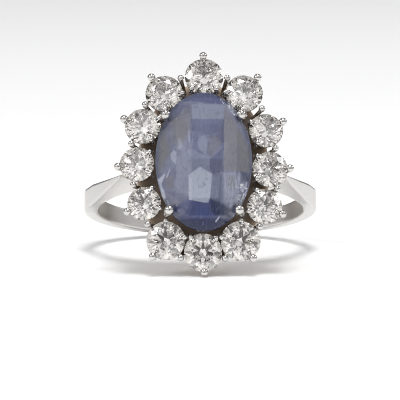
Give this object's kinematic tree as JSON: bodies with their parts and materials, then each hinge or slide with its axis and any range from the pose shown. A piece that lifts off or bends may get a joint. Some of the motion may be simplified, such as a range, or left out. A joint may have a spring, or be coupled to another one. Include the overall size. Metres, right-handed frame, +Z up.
{
  "type": "sapphire and diamond cluster ring",
  "caption": "Finger ring with an oval sapphire in a circle of round brilliant diamonds, claw set on a white gold band with knife-edge shoulders.",
  "frame": {"origin": "on the surface that the ring lies on, under the middle of the ring's box", "axes": "+Z up from the surface, +X across the finger hole, +Y from the stones to the back of the band"},
  "size_m": [0.0196, 0.0258, 0.0177],
  "materials": {
    "white_gold": "polished white gold",
    "sapphire": "polished greyish blue sapphire, transparent",
    "diamond": "polished colourless diamond, transparent"
  },
  "bodies": {
    "root": {"ring_mount": "white_gold", "sapphire": "sapphire", "diamond_01": "diamond", "diamond_02": "diamond", "diamond_03": "diamond", "diamond_04": "diamond", "diamond_05": "diamond", "diamond_06": "diamond", "diamond_07": "diamond", "diamond_08": "diamond", "diamond_09": "diamond", "diamond_10": "diamond", "diamond_11": "diamond", "diamond_12": "diamond"}
  },
  "joints": []
}
